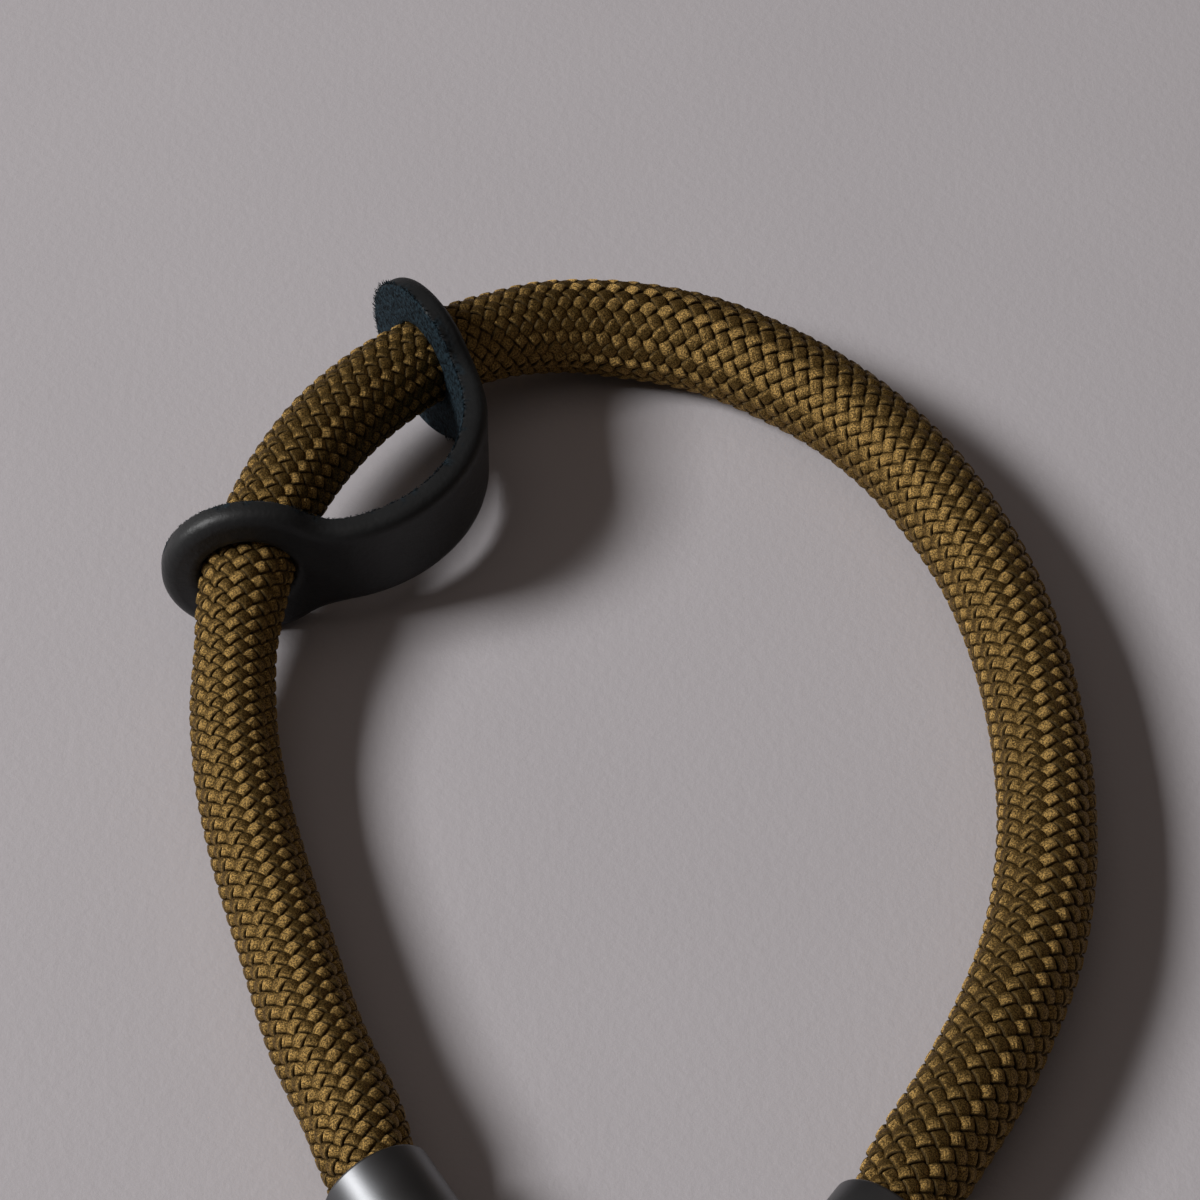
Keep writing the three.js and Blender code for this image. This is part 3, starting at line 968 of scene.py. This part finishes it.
def leather_material():
    """Black leather: fine polished grain outside, blue-black suede inside, its edges worn in between.

    The polish is a coat. It is thinnest on the cut edge at the far end and full on the first end's edge."""
    nodes = Nodes("black_leather")
    places = nodes.places()
    edge = nodes.value("edge")
    frayed = nodes.add("ShaderNodeMath", {"operation": "ADD"})
    tears = nodes.noise(places, scale=800.0, detail=3.0)
    nodes.feed(frayed.inputs[0], edge)
    nodes.feed(frayed.inputs[1], nodes.span(tears, 0.35, 0.65, -0.07, 0.05))
    suede = nodes.span(frayed, 0.92, 0.98, nodes.value("suede"), 0.0)
    pores = nodes.noise(places, scale=2200.0, detail=3.0, roughness=0.55)
    fibres = nodes.noise(places, scale=3200.0, detail=3.0, roughness=0.65)
    clouds = nodes.noise(places, scale=350.0)
    grain = nodes.blend(nodes.span(clouds, 0.3, 0.7), GRAIN_DARK, GRAIN_LIGHT)
    fuzz = nodes.blend(nodes.span(fibres, 0.38, 0.62), SUEDE_DARK, SUEDE_LIGHT)
    edge_polish = nodes.span(nodes.value("burnish"), 0.0, 1.0, *EDGE_POLISH)
    polish = nodes.span(suede, 0.0, 1.0, nodes.span(edge, 0.0, 1.0, FACE_POLISH, edge_polish), 0.0)
    depth = nodes.span(suede, 0.0, 1.0, GRAIN_RELIEF * MM, SUEDE_RELIEF * MM)
    relief = nodes.bump(nodes.blend(suede, pores, fibres), 1.0, depth)
    nodes.shade(Base_Color=nodes.blend(suede, grain, fuzz), Roughness=LEATHER_ROUGHNESS, IOR=LEATHER_IOR)
    nodes.shade(Coat_Weight=polish, Coat_Roughness=POLISH_ROUGHNESS, Coat_IOR=POLISH_IOR)
    nodes.shade(Normal=relief, Coat_Normal=relief)
    return nodes.material


def gunmetal_material(name):
    """Dark plated metal with a satin gloss."""
    nodes = Nodes(name)
    places = nodes.places()
    fine = nodes.noise(places, scale=2600.0)
    broad = nodes.noise(places, scale=240.0)
    colour = nodes.blend(broad, GUNMETAL_DARK, GUNMETAL_LIGHT)
    roughness = nodes.span(broad, 0.3, 0.7, *GUNMETAL_ROUGHNESS)
    nodes.shade(Base_Color=colour, Metallic=1.0, Roughness=roughness)
    nodes.shade(Normal=nodes.bump(fine, GUNMETAL_RELIEF_STRENGTH, GUNMETAL_RELIEF * MM))
    return nodes.material


def paper_material():
    """Pale warm-grey paper with a fine tooth."""
    nodes = Nodes("paper")
    places = nodes.places()
    tooth = nodes.noise(places, scale=1100.0, detail=4.0, roughness=0.65)
    broad = nodes.noise(places, scale=40.0)
    nodes.shade(Base_Color=nodes.blend(broad, PAPER_DARK, PAPER_LIGHT), Roughness=PAPER_ROUGHNESS)
    nodes.shade(Normal=nodes.bump(tooth, PAPER_RELIEF_STRENGTH, PAPER_RELIEF * MM))
    return nodes.material


# Stage

def make_floor():
    half = FLOOR_SIZE * MM / 2
    mesh = bpy.data.meshes.new("floor")
    corners = [(-half, -half, 0), (half, -half, 0), (half, half, 0), (-half, half, 0)]
    mesh.from_pydata(corners, [], [(0, 1, 2, 3)])
    mesh.materials.append(paper_material())
    floor = bpy.data.objects.new("floor", mesh)
    bpy.context.scene.collection.objects.link(floor)


def aim(thing, position, target):
    thing.location = position
    thing.rotation_euler = (Vector(target) - Vector(position)).to_track_quat("-Z", "Y").to_euler()


def make_light(name, direction, width, height, energy, colour):
    """A soft light like a window, looking at the strap."""
    lamp = bpy.data.lights.new(name, "AREA")
    lamp.shape = "RECTANGLE"
    lamp.size = width * MM
    lamp.size_y = height * MM
    lamp.energy = energy
    lamp.color = colour
    light = bpy.data.objects.new(name, lamp)
    bpy.context.scene.collection.objects.link(light)
    target = np.array(LIGHT_TARGET)
    aim(light, (target + unit(np.array(direction)) * LIGHT_DISTANCE) * MM, target * MM)


def make_lights():
    for name, settings in LIGHTS.items():
        make_light(name, *settings)
    world = bpy.data.worlds.new("room")
    world.use_nodes = True
    background = world.node_tree.nodes["Background"]
    background.inputs["Color"].default_value = ROOM_COLOUR
    background.inputs["Strength"].default_value = ROOM_STRENGTH
    bpy.context.scene.world = world


def make_camera():
    lens = bpy.data.cameras.new("camera")
    lens.lens = CAMERA_LENS
    lens.sensor_width = CAMERA_SENSOR
    lens.clip_start = CAMERA_CLIP_START * MM
    camera = bpy.data.objects.new("camera", lens)
    bpy.context.scene.collection.objects.link(camera)
    elevation = math.radians(CAMERA_ELEVATION)
    back = np.array([0.0, -math.cos(elevation), math.sin(elevation)])
    target = np.array(CAMERA_TARGET)
    aim(camera, (target + CAMERA_DISTANCE * back) * MM, target * MM)
    bpy.context.scene.camera = camera


make_camera()
line = CordLine()
core, core_path = make_core(line, core_material())
braid_pieces = make_braid(line, yarn_material())
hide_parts("cord")
leather = leather_material()
slider, slider_outline = make_slider(line, leather)
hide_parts("slider")
make_fibres(slider_outline, leather)
for cap_name in CAPS:
    make_cap(cap_name, gunmetal_material("gunmetal_cap"))
make_ring(gunmetal_material("gunmetal_ring"))
make_floor()
make_lights()
bpy.context.scene.view_settings.view_transform = "Standard"
